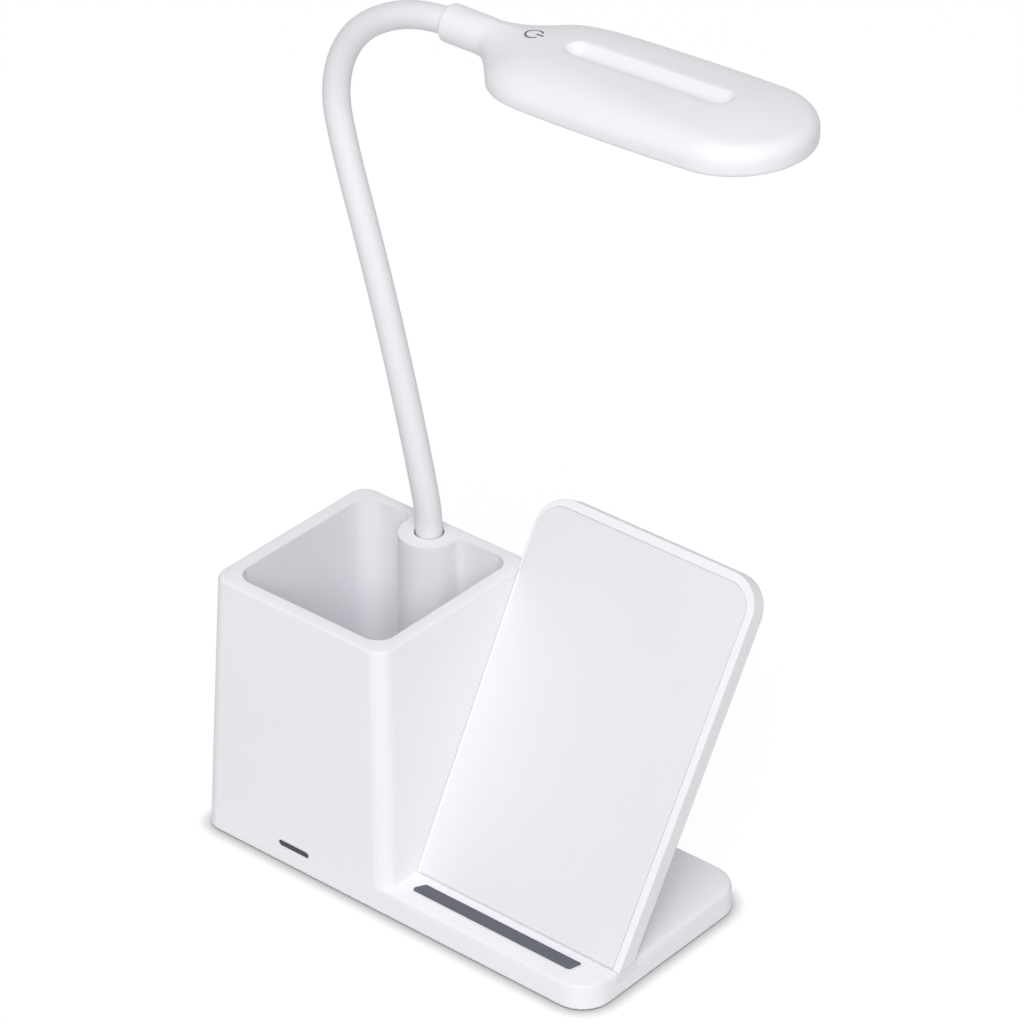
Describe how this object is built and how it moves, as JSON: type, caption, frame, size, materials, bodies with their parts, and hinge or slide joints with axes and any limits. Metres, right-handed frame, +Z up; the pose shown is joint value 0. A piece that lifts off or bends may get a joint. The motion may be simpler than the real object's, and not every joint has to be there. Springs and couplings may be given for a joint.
{
  "type": "desk lamp with pen pot and phone charging plate",
  "caption": "LED desk lamp with a bendable gooseneck on a low base that carries an open pen pot and a leaning wireless charging plate for a phone",
  "frame": {"origin": "centre of the base's footprint, on the table under the rubber feet", "axes": "X to the right along the base's length, Y to the back, Z up"},
  "size_m": [0.1932, 0.0977, 0.302],
  "materials": {
    "white_plastic": "fine satin moulded ABS",
    "white_panel": "smooth satin panel",
    "white_silicone": "matt silicone",
    "grey_rubber": "soft matt",
    "black_rubber": "matt",
    "steel": "plain plated",
    "board_green": "solder mask",
    "board_aluminium": "white lacquered strip",
    "led_yellow": "phosphor lens",
    "copper": "enamelled",
    "ferrite": "pressed sheet",
    "smoke_plastic": "smoked",
    "opal_plastic": "opal satin",
    "wire_grey": "smooth jacket",
    "print_grey": "pad print"
  },
  "bodies": {
    "base": {"body_shell": "white_plastic", "bottom_cover": "white_plastic", "cover_screws": "steel", "rubber_feet": "black_rubber", "rest_strip": "grey_rubber", "indicator_light_pipe": "smoke_plastic", "indicator_led": "led_yellow", "control_board": "board_green", "charger_board": "board_green", "usb_socket": "steel", "plate_rear_shell": "white_plastic", "plate_front_panel": "white_panel", "plate_screws": "steel", "charging_coil": "copper", "ferrite_sheet": "ferrite", "coil_leads": "copper", "lamp_wire": "wire_grey", "neck_lower_ferrule": "steel", "neck_lock_nut": "steel", "neck_core_0": "steel", "neck_sleeve_0": "white_silicone"},
    "neck_1": {"neck_core_1": "steel", "neck_sleeve_1": "white_silicone"},
    "neck_2": {"neck_core_2": "steel", "neck_sleeve_2": "white_silicone"},
    "neck_3": {"neck_core_3": "steel", "neck_sleeve_3": "white_silicone"},
    "neck_4": {"neck_core_4": "steel", "neck_sleeve_4": "white_silicone"},
    "neck_5": {"neck_core_5": "steel", "neck_sleeve_5": "white_silicone"},
    "neck_6": {"neck_core_6": "steel", "neck_sleeve_6": "white_silicone"},
    "neck_7": {"neck_core_7": "steel", "neck_sleeve_7": "white_silicone"},
    "head": {"neck_core_8": "steel", "neck_sleeve_8": "white_silicone", "neck_upper_ferrule": "steel", "head_top_shell": "white_plastic", "diffuser": "opal_plastic", "led_board": "board_aluminium", "leds": "led_yellow", "head_screws": "steel", "head_wire": "wire_grey", "touch_pad": "copper", "touch_contact": "copper", "power_mark": "print_grey"}
  },
  "joints": [
    {"name": "lower_bend_1", "type": "hinge", "parent": "base", "child": "neck_1", "pos_m": [-0.04515, 0.0293, 0.11504], "axis": [0.0003, 1, 0.0002], "range_deg": [-6, 6]},
    {"name": "neck_sway_1", "type": "hinge", "parent": "neck_1", "child": "neck_2", "pos_m": [-0.0514, 0.0293, 0.14158], "axis": [0.9706, 0, 0.2408], "range_deg": [-15, 15]},
    {"name": "lower_bend_2", "type": "hinge", "parent": "neck_2", "child": "neck_3", "pos_m": [-0.05828, 0.0293, 0.16796], "axis": [0.0003, 1, 0.0002], "range_deg": [-6, 6]},
    {"name": "neck_sway_2", "type": "hinge", "parent": "neck_3", "child": "neck_4", "pos_m": [-0.06579, 0.0293, 0.19416], "axis": [0.9579, 0, 0.2871], "range_deg": [-15, 15]},
    {"name": "lower_bend_3", "type": "hinge", "parent": "neck_4", "child": "neck_5", "pos_m": [-0.07393, 0.0293, 0.22018], "axis": [0.0003, 1, 0.0002], "range_deg": [-6, 6]},
    {"name": "upper_bend_1", "type": "hinge", "parent": "neck_5", "child": "neck_6", "pos_m": [-0.08069, 0.0293, 0.24441], "axis": [0.0003, 1, 0.0002], "range_deg": [-30, 8]},
    {"name": "upper_bend_2", "type": "hinge", "parent": "neck_6", "child": "neck_7", "pos_m": [-0.07923, 0.0293, 0.26638], "axis": [0.0003, 1, 0.0002], "range_deg": [-30, 8]},
    {"name": "upper_bend_3", "type": "hinge", "parent": "neck_7", "child": "head", "pos_m": [-0.06577, 0.0293, 0.2838], "axis": [0.0003, 1, 0.0002], "range_deg": [-30, 8]}
  ],
  "couplings": [
    {"joint": "lower_bend_2", "follows": "lower_bend_1", "ratio": 1},
    {"joint": "neck_sway_2", "follows": "neck_sway_1", "ratio": 1},
    {"joint": "lower_bend_3", "follows": "lower_bend_1", "ratio": 1},
    {"joint": "upper_bend_2", "follows": "upper_bend_1", "ratio": 1},
    {"joint": "upper_bend_3", "follows": "upper_bend_1", "ratio": 1}
  ]
}
